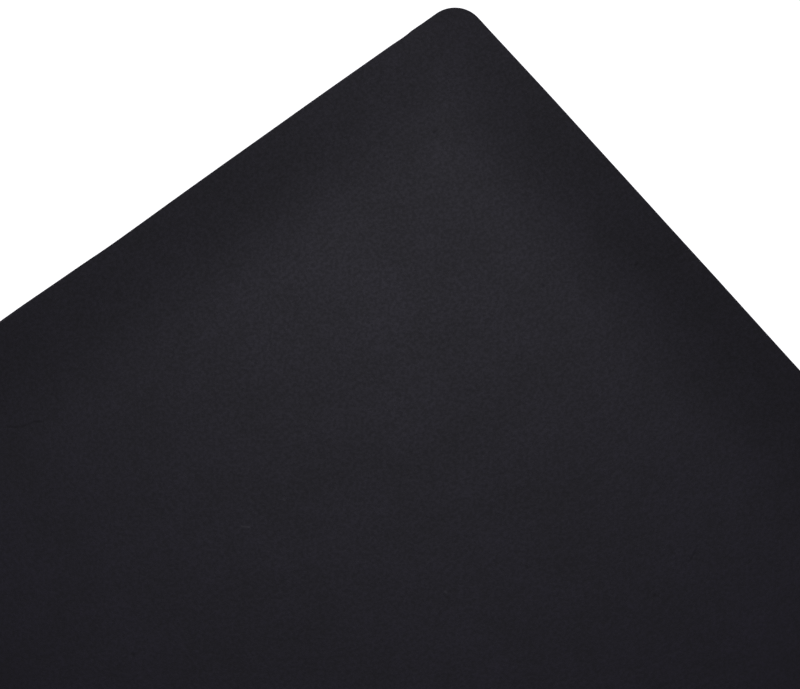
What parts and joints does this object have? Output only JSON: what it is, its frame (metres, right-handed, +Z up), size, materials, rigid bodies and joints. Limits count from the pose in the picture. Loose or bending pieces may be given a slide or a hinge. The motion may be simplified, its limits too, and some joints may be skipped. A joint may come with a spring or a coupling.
{
  "type": "self-healing cutting mat",
  "caption": "Flat rectangular self-healing cutting mat with rounded corners: a plain dark PVC laminate that protects a bench and takes knife cuts.",
  "frame": {"origin": "centre of the underside, where the mat rests on the bench", "axes": "+X along the long side, +Y along the short side, +Z up out of the work face"},
  "size_m": [0.45, 0.3, 0.003],
  "materials": {
    "textured_skin": "matte",
    "soft_healing_ply": "matte",
    "rigid_core_sheet": "satin"
  },
  "bodies": {
    "root": {"top_wear_skin": "textured_skin", "top_healing_layer": "soft_healing_ply", "rigid_core": "rigid_core_sheet", "bottom_healing_layer": "soft_healing_ply", "bottom_wear_skin": "textured_skin"}
  },
  "joints": []
}
